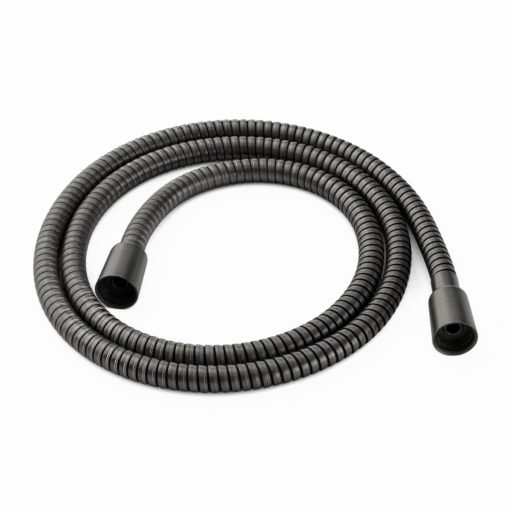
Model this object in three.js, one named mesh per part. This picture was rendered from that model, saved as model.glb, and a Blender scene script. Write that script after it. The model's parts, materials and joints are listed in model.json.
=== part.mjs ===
// A flexible metal shower hose with a conical swivel nut on each end, lying on its side in a loose spiral.
// Millimetres, +Z up. The hose and the rims of both nuts lie on the plane Z = 0, and the origin is under the
// middle of the whole object. Each end's own pieces are turned parts: their outlines are given as
// [radius, depth], where depth runs from the nut's open mouth back towards the hose.

import * as THREE from "three";

// Clearances between pieces that touch, and between pieces that slide on each other
const FIT_GAP = 0.3;
const SLIDE_GAP = 0.5;

// Hose: a wound metal casing over a rubber liner
const HOSE_DIAMETER = 14;
const CASING_WALL = 1.1;
const LINER_GAP = 0.4;
const LINER_WALL = 1.3;

// Swivel nut for a G1/2 thread
const NUT_LENGTH = 31.5;
const NUT_MOUTH_DIAMETER = 23.4;
const NUT_SHOULDER_DIAMETER = 20.6;
const NUT_SHOULDER_LENGTH = 3.4;
const NUT_SHOULDER_LAND = 0.2;
const NUT_RIM_ROUNDING = 0.3;
const THREAD_BORE_DIAMETER = 18.6;
const THREAD_MOUTH_DIAMETER = 21.2;

// Core: the flanged tail that is pushed into the liner, with a nose that stands through the washer
const NOSE_DEPTH = 7.8;
const NOSE_LENGTH = 3;
const NOSE_DIAMETER = 10;
const NOSE_BORE_DIAMETER = 7;
const NOSE_CHAMFER = 0.4;
const FLANGE_THICKNESS = 2;
const NECK_LENGTH = 2.5;
const TAIL_BORE_DIAMETER = 5.8;
const BARB_COUNT = 4;
const BARB_PITCH = 4;
const BARB_HEIGHT = 0.35;

// Sealing washer, slip ring behind the flange, crimped sleeve on the liner, and the outer ferrule
const WASHER_THICKNESS = 2;
const SLIP_RING_THICKNESS = 0.8;
const SLEEVE_WALL = 0.4;
const SLEEVE_LENGTH = 14.5;
const SLEEVE_SETBACK = 1;
const FERRULE_STEP = 0.3;
const FERRULE_LIP = 1.2;
const FERRULE_EDGE_ROUNDING = 0.4;

// The two ends: the middle of each nut's mouth, the way from the mouth back to the hose (degrees from +X,
// anticlockwise seen from above), how much of the ferrule shows behind the nut, and how far behind the
// ferrule the last control point of the hose that is in line with the nut lies
const OUTER_END = { mouth: [104.5, -81.2], heading: 92.2, ferruleShowing: 13.8, leadOut: 7.7 };
const INNER_END = { mouth: [-69.5, -45.4], heading: 80.5, ferruleShowing: 4.2, leadOut: 17.3 };

// Route of the hose between the ends: control points of a smooth spline, as [x, y, lift off the floor],
// chosen by hand along the spiral from the outer end to the inner end
const ROUTE = [
  [94.9, 22.3, 0.6], [84.9, 48.1, 0], [67, 75, 0], [38, 96.5, 0], [3.5, 107, 0], [-35, 103.5, 0],
  [-70, 85.1, 0], [-95.2, 55, 0], [-109, 17.5, 0], [-111, -22, 0], [-99.5, -60, 0], [-74, -89.5, 0],
  [-38.5, -106, 0], [1, -106, 0], [37.5, -90.5, 0], [65.5, -63.5, 0], [80.5, -27, 0], [82.5, 12.5, 0],
  [69, 49.5, 0], [42, 77.5, 0], [4.5, 90.5, 0], [-35, 86, 0], [-68.5, 65.5, 0], [-90, 32.5, 0],
  [-97.5, -6.5, 0], [-91, -45, 0], [-68, -77, 0], [-30.5, -93, 0], [8.5, -89, 0], [42.5, -68, 0],
  [63, -35, 0], [68, -1.5, 0], [61.5, 32, 0], [40.5, 58.5, 0], [8.5, 69.5, 0], [-24.5, 62, 0],
  [-48, 41.5, 0.6],
];

// Fineness of the round forms
const HOSE_SIDES = 10;
const HOSE_STEPS = 78;
const TURNED_SIDES = 32;
const ROUNDING_STEPS = 4;
const LENGTH_SAMPLES = 3000;

// Radii that follow from the sizes above
const casingRadius = HOSE_DIAMETER / 2;
const casingBore = casingRadius - CASING_WALL;
const linerRadius = casingBore - LINER_GAP;
const linerBore = linerRadius - LINER_WALL;
const nutRadius = NUT_MOUTH_DIAMETER / 2;
const shoulderRadius = NUT_SHOULDER_DIAMETER / 2;
const threadRadius = THREAD_BORE_DIAMETER / 2;
const threadMouthRadius = THREAD_MOUTH_DIAMETER / 2;
const noseRadius = NOSE_DIAMETER / 2;
const noseBore = NOSE_BORE_DIAMETER / 2;
const flangeRadius = threadRadius - FIT_GAP;
const ferruleRadius = casingRadius + FERRULE_STEP;
const sleeveBore = linerRadius + FIT_GAP;
const sleeveRadius = sleeveBore + SLEEVE_WALL;
const ferruleBore = sleeveRadius + FIT_GAP;
const ferruleLipBore = linerRadius + FIT_GAP;
const neckRadius = ferruleBore - FIT_GAP;
const barbRadius = linerBore - FIT_GAP;
const tailRadius = barbRadius - BARB_HEIGHT;
const tailBore = TAIL_BORE_DIAMETER / 2;
const slipRingBore = ferruleRadius + FIT_GAP;
const nutBore = ferruleRadius + SLIDE_GAP;

// Depths behind the nut's mouth that follow from the sizes above
const flangeFront = NOSE_DEPTH + NOSE_LENGTH;
const flangeBack = flangeFront + FLANGE_THICKNESS;
const washerBack = flangeFront - FIT_GAP;
const ferruleFront = flangeBack + FIT_GAP;
const slipRingFront = flangeBack + FIT_GAP;
const slipRingBack = slipRingFront + SLIP_RING_THICKNESS;
const nutSeat = slipRingBack + FIT_GAP;
const neckBack = flangeBack + NECK_LENGTH;
const tailBack = neckBack + BARB_COUNT * BARB_PITCH;
const linerFront = neckBack + FIT_GAP;
const sleeveFront = linerFront + SLEEVE_SETBACK;

const satinMetal = { color: 0x6f6d66, roughness: 0.38, metalness: 0.9 };
const castMetal = { color: 0x77756e, roughness: 0.34, metalness: 0.9 };
const brass = { color: 0x8d8a80, roughness: 0.35, metalness: 0.9 };
const rubber = { color: 0x17171a, roughness: 0.75, metalness: 0 };
const nylon = { color: 0xd9d6cb, roughness: 0.5, metalness: 0 };

function namedMesh(name, geometry, finish) {
  const mesh = new THREE.Mesh(geometry, new THREE.MeshStandardMaterial(finish));
  mesh.name = name;
  return mesh;
}

// A body of revolution about +Y from a closed outline of [radius, depth] corners, listed along the inside
// from the front to the back and then along the outside to the front again
function turned(corners) {
  const outline = [...corners, corners[0]].map(([radius, depth]) => new THREE.Vector2(radius, depth));
  return new THREE.LatheGeometry(outline.reverse(), TURNED_SIDES);
}

function ring(innerRadius, outerRadius, front, back) {
  return turned([[innerRadius, front], [innerRadius, back], [outerRadius, back], [outerRadius, front]]);
}

// Corners of a quarter round, as wide and as long as given, about a centre and between two angles in degrees
// from the radius direction
function rounding(centreRadius, centreDepth, width, length, fromAngle, toAngle) {
  return Array.from({ length: ROUNDING_STEPS + 1 }, (_, step) => {
    const angle = THREE.MathUtils.degToRad(THREE.MathUtils.lerp(fromAngle, toAngle, step / ROUNDING_STEPS));
    return [centreRadius + width * Math.cos(angle), centreDepth + length * Math.sin(angle)];
  });
}

// Conical swivel nut: a countersunk socket at the mouth, a seat that draws the core forward, a straight bore
// that slides on the ferrule, and a shoulder that is rounded down to a narrow land round that bore
function nutGeometry() {
  const taper = (nutRadius - shoulderRadius) / NUT_LENGTH;
  const coneEnd = NUT_LENGTH - NUT_SHOULDER_LENGTH;
  const landRadius = nutBore + NUT_SHOULDER_LAND;
  const shoulderWidth = nutRadius - taper * coneEnd - landRadius;
  const countersink = threadMouthRadius - threadRadius;
  const rimRadius = nutRadius - NUT_RIM_ROUNDING;
  return turned([
    [threadMouthRadius, 0],
    [threadRadius, countersink],
    [threadRadius, nutSeat],
    [nutBore, nutSeat],
    [nutBore, NUT_LENGTH],
    ...rounding(landRadius, coneEnd, shoulderWidth, NUT_SHOULDER_LENGTH, 90, 0),
    ...rounding(rimRadius, NUT_RIM_ROUNDING, NUT_RIM_ROUNDING, NUT_RIM_ROUNDING, 0, -90),
  ]);
}

// Core: nose, flange, neck inside the ferrule, and a barbed tail inside the liner
function coreGeometry() {
  const barbs = Array.from({ length: BARB_COUNT }, (_, barb) => tailBack - barb * BARB_PITCH);
  return turned([
    [noseBore, NOSE_DEPTH],
    [noseBore, flangeBack],
    [tailBore, neckBack],
    [tailBore, tailBack],
    ...barbs.flatMap((back) => [[tailRadius, back], [barbRadius, back - BARB_PITCH]]),
    [neckRadius, neckBack],
    [neckRadius, flangeBack],
    [flangeRadius, flangeBack],
    [flangeRadius, flangeFront],
    [noseRadius, flangeFront],
    [noseRadius, NOSE_DEPTH + NOSE_CHAMFER],
    [noseRadius - NOSE_CHAMFER, NOSE_DEPTH],
  ]);
}

// Ferrule: a plain collar from behind the flange to the casing, with a lip turned in at its back
function ferruleGeometry(back) {
  const rimRadius = ferruleRadius - FERRULE_EDGE_ROUNDING;
  const rimCentre = back - FERRULE_EDGE_ROUNDING;
  return turned([
    [ferruleBore, ferruleFront],
    [ferruleBore, back - FERRULE_LIP],
    [ferruleLipBore, back - FERRULE_LIP],
    [ferruleLipBore, back],
    ...rounding(rimRadius, rimCentre, FERRULE_EDGE_ROUNDING, FERRULE_EDGE_ROUNDING, 90, 0),
    [ferruleRadius, ferruleFront],
  ]);
}

function ferruleBack({ ferruleShowing }) {
  return NUT_LENGTH + ferruleShowing;
}

// All pieces of one end, in a group whose +Y runs from the nut's mouth back to the hose
function hoseEnd(name, end) {
  const group = new THREE.Group();
  group.position.set(...end.mouth, nutRadius);
  group.rotation.z = THREE.MathUtils.degToRad(end.heading - 90);
  group.add(
    namedMesh(`${name}_nut`, nutGeometry(), castMetal),
    namedMesh(`${name}_core`, coreGeometry(), brass),
    namedMesh(
      `${name}_washer`,
      ring(noseRadius + FIT_GAP, flangeRadius, washerBack - WASHER_THICKNESS, washerBack),
      rubber,
    ),
    namedMesh(`${name}_slip_ring`, ring(slipRingBore, flangeRadius, slipRingFront, slipRingBack), nylon),
    namedMesh(
      `${name}_sleeve`,
      ring(sleeveBore, sleeveRadius, sleeveFront, sleeveFront + SLEEVE_LENGTH),
      brass,
    ),
    namedMesh(`${name}_ferrule`, ferruleGeometry(ferruleBack(end)), castMetal),
  );
  return group;
}

// Middle line of the hose: a uniform cubic spline over control points, which starts and ends on the first
// and last of them
class Centreline extends THREE.Curve {
  constructor(points) {
    super();
    this.arcLengthDivisions = LENGTH_SAMPLES;
    const beyond = (last, inner) => last.clone().multiplyScalar(2).sub(inner);
    this.points = [beyond(points[0], points[1]), ...points, beyond(points.at(-1), points.at(-2))];
  }

  getPoint(t, target = new THREE.Vector3()) {
    const spans = this.points.length - 3;
    const span = Math.min(Math.floor(t * spans), spans - 1);
    const u = t * spans - span;
    const weights = [
      (1 - u) ** 3,
      3 * u ** 3 - 6 * u ** 2 + 4,
      -3 * u ** 3 + 3 * u ** 2 + 3 * u + 1,
      u ** 3,
    ];
    target.set(0, 0, 0);
    weights.forEach((weight, index) => target.addScaledVector(this.points[span + index], weight / 6));
    return target;
  }
}

// The middle line as a tube meets it: one ring at each of the chosen distances from the outer nut's mouth
class RingedLine extends THREE.Curve {
  constructor(line, distances) {
    super();
    this.line = line;
    this.distances = distances;
  }

  shareAt(u) {
    const place = u * (this.distances.length - 1);
    const index = Math.min(Math.floor(place), this.distances.length - 2);
    const distance = THREE.MathUtils.lerp(this.distances[index], this.distances[index + 1], place - index);
    return distance / this.line.getLength();
  }

  getPointAt(u, target) {
    return this.line.getPointAt(this.shareAt(u), target);
  }

  getTangentAt(u, target) {
    return this.line.getTangentAt(this.shareAt(u), target);
  }
}

// Control points inside and just behind an end, in line with its nut, so that the hose leaves it straight
function endPoints(end) {
  const angle = THREE.MathUtils.degToRad(end.heading);
  const direction = new THREE.Vector3(Math.cos(angle), Math.sin(angle), 0);
  const back = ferruleBack(end);
  return [0, back / 2, back, back + end.leadOut].map((depth) =>
    new THREE.Vector3(...end.mouth, nutRadius).addScaledVector(direction, depth),
  );
}

const centreline = new Centreline([
  ...endPoints(OUTER_END),
  ...ROUTE.map(([x, y, lift]) => new THREE.Vector3(x, y, casingRadius + lift)),
  ...endPoints(INNER_END).reverse(),
]);

// A hollow tube along the middle line with a ring of corners at each of the distances
function tube(radius, bore, distances) {
  const circle = (size) =>
    Array.from({ length: HOSE_SIDES }, (_, side) => {
      const angle = (side / HOSE_SIDES) * 2 * Math.PI;
      return new THREE.Vector2(size * Math.cos(angle), size * Math.sin(angle));
    });
  const section = new THREE.Shape(circle(radius));
  section.holes.push(new THREE.Path(circle(bore)));
  return new THREE.ExtrudeGeometry(section, {
    steps: distances.length - 1,
    extrudePath: new RingedLine(centreline, distances),
  });
}

// The casing lies between the ferrules, and the liner runs on through them to the necks of both cores, with
// its rings where the casing's are
const wholeLength = centreline.getLength();
const casingStart = ferruleBack(OUTER_END) + FIT_GAP;
const casingEnd = wholeLength - ferruleBack(INNER_END) - FIT_GAP;
const casingRings = Array.from({ length: HOSE_STEPS + 1 }, (_, step) =>
  THREE.MathUtils.lerp(casingStart, casingEnd, step / HOSE_STEPS),
);
const linerRings = [linerFront, ...casingRings, wholeLength - linerFront];

const hose = new THREE.Group();
hose.add(
  namedMesh("outer_casing", tube(casingRadius, casingBore, casingRings), satinMetal),
  namedMesh("inner_liner", tube(linerRadius, linerBore, linerRings), rubber),
  hoseEnd("outer_end", OUTER_END),
  hoseEnd("inner_end", INNER_END),
);

// The origin goes under the middle of the object
const bounds = new THREE.Box3().setFromObject(hose, true);
const middle = bounds.getCenter(new THREE.Vector3());
hose.position.set(-middle.x, -middle.y, -bounds.min.z);
hose.updateMatrixWorld(true);

export default hose;
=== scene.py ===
"""Dresses a flexible metal shower hose that lies in a loose spiral, with a swivel nut on each end.

Lengths in the classes of the object's pieces are in millimetres, and those of the studio in metres. Placed
meshes are in metres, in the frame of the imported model: +Z up, the hose lying on the plane Z = 0.
"""

import json
import logging
import math
from collections.abc import Callable
from dataclasses import dataclass, field, replace
from enum import Enum
from itertools import pairwise

import bmesh
import bpy
import numpy as np
from mathutils import Matrix, Vector


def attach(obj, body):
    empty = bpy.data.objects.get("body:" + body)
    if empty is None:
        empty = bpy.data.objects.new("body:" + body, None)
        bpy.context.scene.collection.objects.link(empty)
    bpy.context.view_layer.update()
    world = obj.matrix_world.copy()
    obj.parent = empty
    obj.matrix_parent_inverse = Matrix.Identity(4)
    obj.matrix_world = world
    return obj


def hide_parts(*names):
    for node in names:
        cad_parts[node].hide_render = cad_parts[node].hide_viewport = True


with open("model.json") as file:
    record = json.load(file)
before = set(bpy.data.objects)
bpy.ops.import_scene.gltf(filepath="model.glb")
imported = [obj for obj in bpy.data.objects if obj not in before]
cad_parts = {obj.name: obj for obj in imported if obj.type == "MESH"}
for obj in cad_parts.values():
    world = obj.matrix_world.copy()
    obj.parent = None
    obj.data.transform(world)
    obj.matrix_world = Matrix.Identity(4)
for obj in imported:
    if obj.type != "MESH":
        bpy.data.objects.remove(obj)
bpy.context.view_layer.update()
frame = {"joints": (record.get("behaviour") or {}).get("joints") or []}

logging.basicConfig(level=logging.INFO, format="%(message)s")
log = logging.getLogger("shower_hose")

MM = 0.001
FULL_TURN = 2 * math.pi
SHARP_ANGLE = math.radians(30)
WHITE = (1, 1, 1, 1)

# In metres
MERGE_DISTANCE = 1e-6
HOSE_DIAMETER = 0.014

# In millimetres: the nuts' length, and the gap between a fitting and the casing or liner behind it
NUT_LENGTH = 31.5
JOINT_GAP = 0.3

# Control points of the hose's spiral from the outer end to the inner end: x, y and lift off the floor, in
# metres, before the object was moved over the origin, and the middle of the outer nut's mouth with them
ROUTE = [
    (0.0949, 0.0223, 0.0006), (0.0849, 0.0481, 0), (0.067, 0.075, 0), (0.038, 0.0965, 0),
    (0.0035, 0.107, 0), (-0.035, 0.1035, 0), (-0.07, 0.0851, 0), (-0.0952, 0.055, 0),
    (-0.109, 0.0175, 0), (-0.111, -0.022, 0), (-0.0995, -0.06, 0), (-0.074, -0.0895, 0),
    (-0.0385, -0.106, 0), (0.001, -0.106, 0), (0.0375, -0.0905, 0), (0.0655, -0.0635, 0),
    (0.0805, -0.027, 0), (0.0825, 0.0125, 0), (0.069, 0.0495, 0), (0.042, 0.0775, 0),
    (0.0045, 0.0905, 0), (-0.035, 0.086, 0), (-0.0685, 0.0655, 0), (-0.09, 0.0325, 0),
    (-0.0975, -0.0065, 0), (-0.091, -0.045, 0), (-0.068, -0.077, 0), (-0.0305, -0.093, 0),
    (0.0085, -0.089, 0), (0.0425, -0.068, 0), (0.063, -0.035, 0), (0.068, -0.0015, 0),
    (0.0615, 0.032, 0), (0.0405, 0.0585, 0), (0.0085, 0.0695, 0), (-0.0245, 0.062, 0),
    (-0.048, 0.0415, 0.0006),
]
OUTER_MOUTH = (0.1045, -0.0812)


class Slot(Enum):
    """Material slots of the record."""

    CASING = "casing_steel"
    LINER = "liner_rubber"
    NUT = "nut_metal"
    CORE = "core_metal"
    WASHER = "washer_rubber"
    SLIP_RING = "slip_ring_nylon"
    FERRULE = "ferrule_metal"


class Body(Enum):
    """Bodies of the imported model."""

    HOSE = "hose"
    OUTER_NUT = "outer_nut"
    INNER_NUT = "inner_nut"


def add_object(name: str, data: bpy.types.ID) -> bpy.types.Object:
    """Puts a mesh, lamp or camera into the scene as an object.

    Args:
        name: the object's name.
        data: what it shows.

    Returns:
        The object.
    """
    made = bpy.data.objects.new(name, data)
    bpy.context.scene.collection.objects.link(made)
    return made


# Node trees


class NodeBoard:
    """Adds nodes to one node tree, from left to right, and joins their sockets."""

    SPACING = 190

    def __init__(self, tree: bpy.types.NodeTree) -> None:
        """Starts on a node tree, which it empties."""
        self.tree = tree
        tree.nodes.clear()

    def add(self, kind: str, inputs: dict | None = None, **settings: object) -> bpy.types.Node:
        """Adds one node.

        Args:
            kind: the node's type name.
            inputs: plain values or sockets for its inputs, by name or number.
            settings: the node's own properties.

        Returns:
            The new node.
        """
        node = self.tree.nodes.new(kind)
        node.location = (len(self.tree.nodes) * self.SPACING, 0)
        for name, value in settings.items():
            setattr(node, name, value)
        for name, value in (inputs or {}).items():
            if isinstance(value, bpy.types.NodeSocket):
                self.tree.links.new(value, node.inputs[name])
            else:
                node.inputs[name].default_value = value
        return node

    def value(self, operation: str, *terms: object) -> bpy.types.NodeSocket:
        """Adds a Math node on numbers or sockets and returns its result."""
        return self.add("ShaderNodeMath", dict(enumerate(terms)), operation=operation).outputs[0]

    def ramp(
        self, value: object, limits: tuple[float, float], results: tuple[float, float] = (0, 1)
    ) -> bpy.types.NodeSocket:
        """Spreads a value between two limits over another range, smoothly and without leaving it.

        Args:
            value: the socket that is spread.
            limits: the values that become the first and the second result.
            results: the results at the limits.

        Returns:
            The result's socket.
        """
        spread = {"Value": value, "From Min": limits[0], "From Max": limits[1]}
        spread |= {"To Min": results[0], "To Max": results[1]}
        return self.add("ShaderNodeMapRange", spread, interpolation_type="SMOOTHSTEP").outputs[0]

    def blend_colours(self, share: object, first: object, second: object) -> bpy.types.NodeSocket:
        """Mixes two colours, with the given share of the second one."""
        return self.add("ShaderNodeMix", {0: share, 6: first, 7: second}, data_type="RGBA").outputs[2]

    def noise(self, vector: object, scale: object, **inputs: float) -> bpy.types.NodeSocket:
        """Adds a noise texture and returns its strength."""
        return self.add("ShaderNodeTexNoise", {"Vector": vector, "Scale": scale, **inputs}).outputs[0]

    def mark(self, name: str) -> bpy.types.NodeSocket:
        """Reads one of the marks on a mesh's corners."""
        return self.add("ShaderNodeAttribute", attribute_name=name).outputs["Fac"]

    def place_on_piece(self) -> bpy.types.NodeSocket:
        """Returns the point's place on its piece."""
        return self.add("ShaderNodeTexCoord").outputs["Object"]

    def surface(self, inputs: dict, relief: object, strength: float, depth: float) -> None:
        """Adds a fine bump, the shader and the material's output.

        Args:
            inputs: plain values or sockets for the shader's inputs.
            relief: the socket of the bump's height.
            strength: the bump's strength.
            depth: the bump's depth in metres.
        """
        bump = self.add("ShaderNodeBump", {"Strength": strength, "Distance": depth, "Height": relief})
        shader = self.add("ShaderNodeBsdfPrincipled", {**inputs, "Normal": bump.outputs[0]})
        self.add("ShaderNodeOutputMaterial", {"Surface": shader.outputs[0]})


def new_material(name: str) -> tuple[bpy.types.Material, NodeBoard]:
    """Makes a material with no nodes yet.

    Args:
        name: what its finish is called.

    Returns:
        The material and the board for its nodes.
    """
    material = bpy.data.materials.new(name)
    material.use_nodes = True
    return material, NodeBoard(material.node_tree)


@dataclass(frozen=True)
class EffectSocket:
    """One named input or output of a shared effect."""

    name: str
    kind: str = "NodeSocketFloat"
    is_output: bool = False
    default: float | None = None


class Effect:
    """A node group that several materials use, each with its own values."""

    name: str = ""
    sockets: tuple[EffectSocket, ...] = ()

    def __init__(self) -> None:
        """Makes the group with its sockets and fills it."""
        self.tree = bpy.data.node_groups.new(self.name, "ShaderNodeTree")
        self.board = NodeBoard(self.tree)
        for socket in self.sockets:
            side = "OUTPUT" if socket.is_output else "INPUT"
            made = self.tree.interface.new_socket(socket.name, in_out=side, socket_type=socket.kind)
            if socket.default is not None:
                made.default_value = socket.default
        self.given = self.board.add("NodeGroupInput").outputs
        results = self.fill()
        self.board.add("NodeGroupOutput", results)

    def fill(self) -> dict[str, bpy.types.NodeSocket]:
        """Builds the inside and returns the output sockets by name."""
        raise NotImplementedError

    def place(self, board: NodeBoard, inputs: dict) -> bpy.types.Node:
        """Puts the effect into a material, with values or sockets for its inputs, and returns its node."""
        return board.add("ShaderNodeGroup", inputs, node_tree=self.tree)


class FineLines(Effect):
    """Fine lines of a brushed or turned surface: long along X and Y, close together along Z."""

    name = "fine_lines"
    sockets = (
        EffectSocket("Vector", "NodeSocketVector"),
        EffectSocket("Streak Rate", default=60.0),
        EffectSocket("Line Rate", default=4000.0),
        EffectSocket("Height", is_output=True),
        EffectSocket("Shade", is_output=True),
    )
    band_scale = 0.22
    band_limits = (0.3, 0.7)

    def fill(self) -> dict[str, bpy.types.NodeSocket]:
        """Builds the lines from two stretched noises.

        Returns:
            Height, the lines' relief, and Shade, their broader light and dark.
        """
        streak, line = self.given["Streak Rate"], self.given["Line Rate"]
        rates = self.board.add("ShaderNodeCombineXYZ", {"X": streak, "Y": streak, "Z": line})
        terms = {0: self.given["Vector"], 1: rates.outputs[0]}
        spread = self.board.add("ShaderNodeVectorMath", terms, operation="MULTIPLY").outputs[0]
        lines = self.board.noise(spread, 1.0, Detail=3.0)
        bands = self.board.noise(spread, self.band_scale, Detail=2.0)
        return {"Height": lines, "Shade": self.board.ramp(bands, self.band_limits)}


class HandlingHaze(Effect):
    """Soft patches that a surface gets from being handled and wiped."""

    name = "handling_haze"
    sockets = (
        EffectSocket("Vector", "NodeSocketVector"),
        EffectSocket("Patch Rate", default=40.0),
        EffectSocket("Mask", is_output=True),
    )
    patch_limits = (0.35, 0.7)

    def fill(self) -> dict[str, bpy.types.NodeSocket]:
        """Builds the patches from one soft noise.

        Returns:
            Mask, how much of each point is hazed.
        """
        vector, rate = self.given["Vector"], self.given["Patch Rate"]
        patches = self.board.noise(vector, rate, Detail=4.0, Roughness=0.6)
        return {"Mask": self.board.ramp(patches, self.patch_limits)}


class PaintedRecessShade(Effect):
    """Painted shade, nearly black, where the surface is marked as recessed, with a ragged edge."""

    name = "painted_recess_shade"
    sockets = (
        EffectSocket("Recess", default=0.0),
        EffectSocket("Vector", "NodeSocketVector"),
        EffectSocket("Mask", is_output=True),
    )
    speck_rate = 900.0
    raggedness = 0.5
    painted_shade_limits = (0.15, 0.75)

    def fill(self) -> dict[str, bpy.types.NodeSocket]:
        """Breaks the recess mark up with noise.

        Returns:
            Mask, how strongly the shade is painted.
        """
        specks = self.board.noise(self.given["Vector"], self.speck_rate, Detail=3.0)
        wavering = self.board.value("MULTIPLY_ADD", specks, self.raggedness, -self.raggedness / 2)
        raised = self.board.value("ADD", self.given["Recess"], wavering)
        return {"Mask": self.board.ramp(raised, self.painted_shade_limits)}


class MouldedGrain(Effect):
    """Fine even grain of moulded rubber and plastic."""

    name = "moulded_grain"
    sockets = (
        EffectSocket("Vector", "NodeSocketVector"),
        EffectSocket("Grain Rate", default=3000.0),
        EffectSocket("Height", is_output=True),
        EffectSocket("Bloom", is_output=True),
    )
    bloom_rate = 130.0
    bloom_limits = (0.4, 0.75)

    def fill(self) -> dict[str, bpy.types.NodeSocket]:
        """Builds the grain and a broad bloom.

        Returns:
            Height, the grain's relief, and Bloom, the pale film's mask.
        """
        grain = self.board.noise(self.given["Vector"], self.given["Grain Rate"], Detail=2.0)
        film = self.board.noise(self.given["Vector"], self.bloom_rate, Detail=3.0)
        return {"Height": grain, "Bloom": self.board.ramp(film, self.bloom_limits)}


@dataclass
class Effects:
    """The shared effects, each built once."""

    lines: FineLines = field(default_factory=FineLines)
    haze: HandlingHaze = field(default_factory=HandlingHaze)
    painted_shade: PaintedRecessShade = field(default_factory=PaintedRecessShade)
    grain: MouldedGrain = field(default_factory=MouldedGrain)


# Finishes


Colour = tuple[float, float, float, float]


@dataclass(frozen=True)
class MetalFinish:
    """A satin metal with fine lines and handling haze, painted shade in its recesses, and edges painted
    lighter, partly as wear and partly as painted glints.
    """

    name: str
    deep: Colour
    bright: Colour
    wear_glint_colour: Colour
    painted_shade: Colour = (0.006, 0.006, 0.005, 1)
    metallic: float = 1.0
    smooth_roughness: float = 0.3
    hazed_roughness: float = 0.4
    recess_roughness: float = 0.35
    patch_rate: float = 45.0
    patch_shade: float = 0.35
    wear_glint_limits: tuple[float, float] = (0.65, 1)
    streak_rate: float = 60.0
    line_rate: float = 4000.0
    line_depth: float = 0.00001
    line_strength: float = 0.6
    along_strip: bool = False

    def material(self, effects: Effects) -> bpy.types.Material:
        """Builds the finish's material.

        Args:
            effects: the shared effects.

        Returns:
            The material.
        """
        material, board = new_material(self.name)
        rates = {"Streak Rate": self.streak_rate, "Line Rate": self.line_rate}
        lines = effects.lines.place(board, {"Vector": self.line_vector(board), **rates}).outputs
        patches = {"Vector": board.place_on_piece(), "Patch Rate": self.patch_rate}
        haze = effects.haze.place(board, patches).outputs["Mask"]
        # Shade is painted nearly black where a mesh is marked as recessed, with a ragged edge; the same
        # marks make it rougher.
        shade_inputs = {"Recess": board.mark("recess_shade"), "Vector": board.place_on_piece()}
        painted_shade = effects.painted_shade.place(board, shade_inputs).outputs["Mask"]
        shade = board.value("MULTIPLY_ADD", haze, self.patch_shade, lines["Shade"])
        colour = board.blend_colours(board.ramp(shade, (0, 1 + self.patch_shade)), self.deep, self.bright)
        # Marked edges are painted lighter: partly wear, and on the strip's ledges mostly painted glints.
        wear_glint = board.ramp(board.mark("wear_glint"), self.wear_glint_limits)
        colour = board.blend_colours(wear_glint, colour, self.wear_glint_colour)
        colour = board.blend_colours(painted_shade, colour, self.painted_shade)
        roughness = board.ramp(haze, (0, 1), (self.smooth_roughness, self.hazed_roughness))
        roughness = board.value("MULTIPLY_ADD", painted_shade, self.recess_roughness, roughness)
        board.surface(
            {"Base Color": colour, "Metallic": self.metallic, "Roughness": roughness},
            lines["Height"],
            self.line_strength,
            self.line_depth,
        )
        return material

    def line_vector(self, board: NodeBoard) -> bpy.types.NodeSocket:
        """Returns a vector whose Z runs across the finish's fine lines.

        Args:
            board: the material's node board.

        Returns:
            The vector's socket.
        """
        if not self.along_strip:
            return board.place_on_piece()
        lay = board.add("ShaderNodeUVMap", uv_map="lay").outputs[0]
        parts = board.add("ShaderNodeSeparateXYZ", {0: lay})
        return board.add("ShaderNodeCombineXYZ", {"X": parts.outputs[0], "Z": parts.outputs[1]}).outputs[0]


@dataclass(frozen=True)
class MouldedFinish:
    """A moulded rubber or plastic with fine grain and a pale bloom."""

    name: str
    colour: Colour
    bloom: Colour
    roughness: float = 0.6
    bloom_roughness: float = 0.8
    specular: float = 0.35
    grain_depth: float = 0.00002
    grain_strength: float = 0.4

    def material(self, effects: Effects) -> bpy.types.Material:
        """Builds the finish's material.

        Args:
            effects: the shared effects.

        Returns:
            The material.
        """
        material, board = new_material(self.name)
        grain = effects.grain.place(board, {"Vector": board.place_on_piece()}).outputs
        colour = board.blend_colours(grain["Bloom"], self.colour, self.bloom)
        roughness = board.ramp(grain["Bloom"], (0, 1), (self.roughness, self.bloom_roughness))
        board.surface(
            {"Base Color": colour, "Roughness": roughness, "Specular IOR Level": self.specular},
            grain["Height"],
            self.grain_strength,
            self.grain_depth,
        )
        return material


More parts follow.
